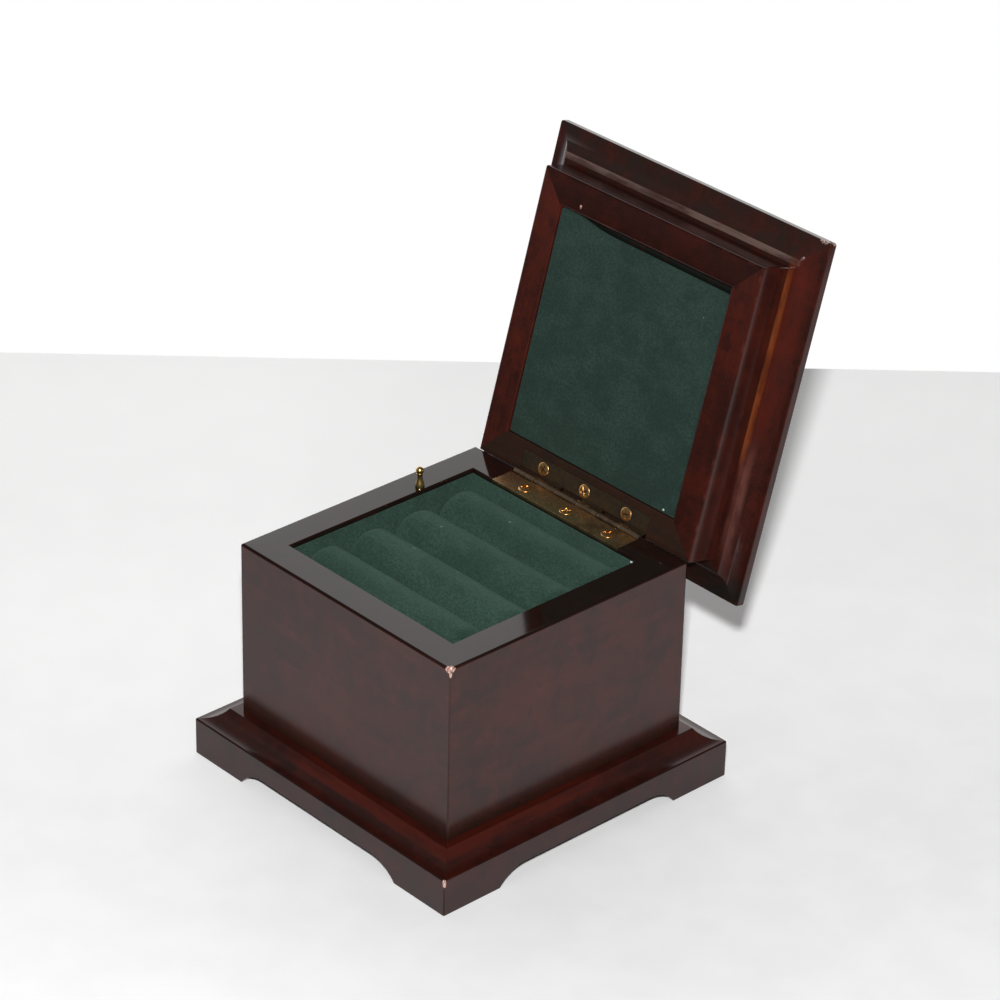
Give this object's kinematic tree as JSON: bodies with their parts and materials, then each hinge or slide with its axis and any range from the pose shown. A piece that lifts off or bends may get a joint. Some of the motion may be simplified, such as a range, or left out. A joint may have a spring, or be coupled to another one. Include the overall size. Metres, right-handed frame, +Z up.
{
  "type": "musical ring box",
  "caption": "Square wooden ring box on a moulded plinth with bracket feet, a hinged moulded lid, velvet ring rolls and a wind-up comb movement.",
  "frame": {"origin": "on the floor, under the middle of the box's outline with its lid open, which is 16.2 mm behind the middle of the case", "axes": "+X to the right of the box seen from the front, +Y to the back where the lid is hinged, +Z up"},
  "size_m": [0.105, 0.1374, 0.1553],
  "materials": {
    "mahogany": "satin lacquer",
    "velvet": "velvet",
    "plywood": "raw",
    "card": "matte",
    "aged_brass": "tarnished",
    "copper_brass": "bright",
    "brass": "satin",
    "steel": "satin",
    "blued_steel": "blued",
    "zinc": "cast",
    "ivory_plastic": "moulded",
    "dark_plastic": "moulded"
  },
  "bodies": {
    "case": {"plinth_front": "mahogany", "plinth_back": "mahogany", "plinth_left": "mahogany", "plinth_right": "mahogany", "case_front": "mahogany", "case_back": "mahogany", "case_left": "mahogany", "case_right": "mahogany", "bottom_panel": "plywood", "bottom_screws": "brass", "tray_board": "plywood", "tray_cleats": "plywood", "tray_lining": "velvet", "ring_roll_1": "velvet", "ring_roll_2": "velvet", "ring_roll_3": "velvet", "ring_roll_4": "velvet", "hinge_leaf_lower": "aged_brass", "hinge_pin": "aged_brass", "hinge_screws_lower": "copper_brass", "stop_pin_spring": "steel", "movement_bedplate": "zinc", "movement_screws": "steel", "music_comb": "steel", "comb_screws": "steel", "governor_frame": "ivory_plastic", "governor_screw": "steel", "clutch_spring": "steel"},
    "lid": {"lid_top": "mahogany", "lid_rail_front": "mahogany", "lid_rail_back": "mahogany", "lid_rail_left": "mahogany", "lid_rail_right": "mahogany", "lid_card": "card", "lid_velvet": "velvet", "hinge_leaf_upper": "aged_brass", "hinge_screws_upper": "copper_brass"},
    "stop_pin": {"stop_pin": "aged_brass", "stop_wire": "steel"},
    "key": {"winding_key": "brass", "winding_arbor": "steel"},
    "barrel": {"spring_barrel": "brass", "barrel_cover": "brass", "mainspring": "blued_steel"},
    "cylinder": {"music_cylinder": "brass", "cylinder_shaft": "steel", "cylinder_pinion": "steel", "cylinder_wheel": "brass"},
    "second_gear": {"second_gear": "ivory_plastic", "second_arbor": "steel"},
    "governor": {"governor_worm": "steel", "air_brake": "dark_plastic"}
  },
  "joints": [
    {"name": "lid_hinge", "type": "hinge", "parent": "case", "child": "lid", "pos_m": [0, 0.02639, 0.0676], "axis": [1, 0, 0], "range_deg": [0, 105.8]},
    {"name": "stop_pin_slide", "type": "slide", "parent": "case", "child": "stop_pin", "axis": [0, 0, -1], "range_m": [0, 0.00601], "deforming": ["stop_pin_spring"]},
    {"name": "winding_key_turn", "type": "hinge", "parent": "case", "child": "key", "pos_m": [0.0142, -0.01621, 0], "axis": [0, 0, 1], "continuous": true},
    {"name": "cylinder_spin", "type": "hinge", "parent": "case", "child": "cylinder", "pos_m": [0, -0.01621, 0.0292], "axis": [1, 0, 0], "continuous": true},
    {"name": "barrel_spin", "type": "hinge", "parent": "case", "child": "barrel", "pos_m": [0.0142, -0.01621, 0], "axis": [0, 0, 1], "continuous": true},
    {"name": "second_gear_spin", "type": "hinge", "parent": "case", "child": "second_gear", "pos_m": [0, -0.00741, 0.0292], "axis": [1, 0, 0], "continuous": true},
    {"name": "governor_spin", "type": "hinge", "parent": "case", "child": "governor", "pos_m": [-0.0255, -0.00111, 0], "axis": [0, 0, 1], "continuous": true}
  ],
  "couplings": [
    {"joint": "stop_pin_slide", "follows": "lid_hinge", "m_per_rad": 0.0032493},
    {"joint": "barrel_spin", "follows": "cylinder_spin", "ratio": -0.40741},
    {"joint": "second_gear_spin", "follows": "cylinder_spin", "ratio": -3},
    {"joint": "governor_spin", "follows": "cylinder_spin", "ratio": 42}
  ]
}
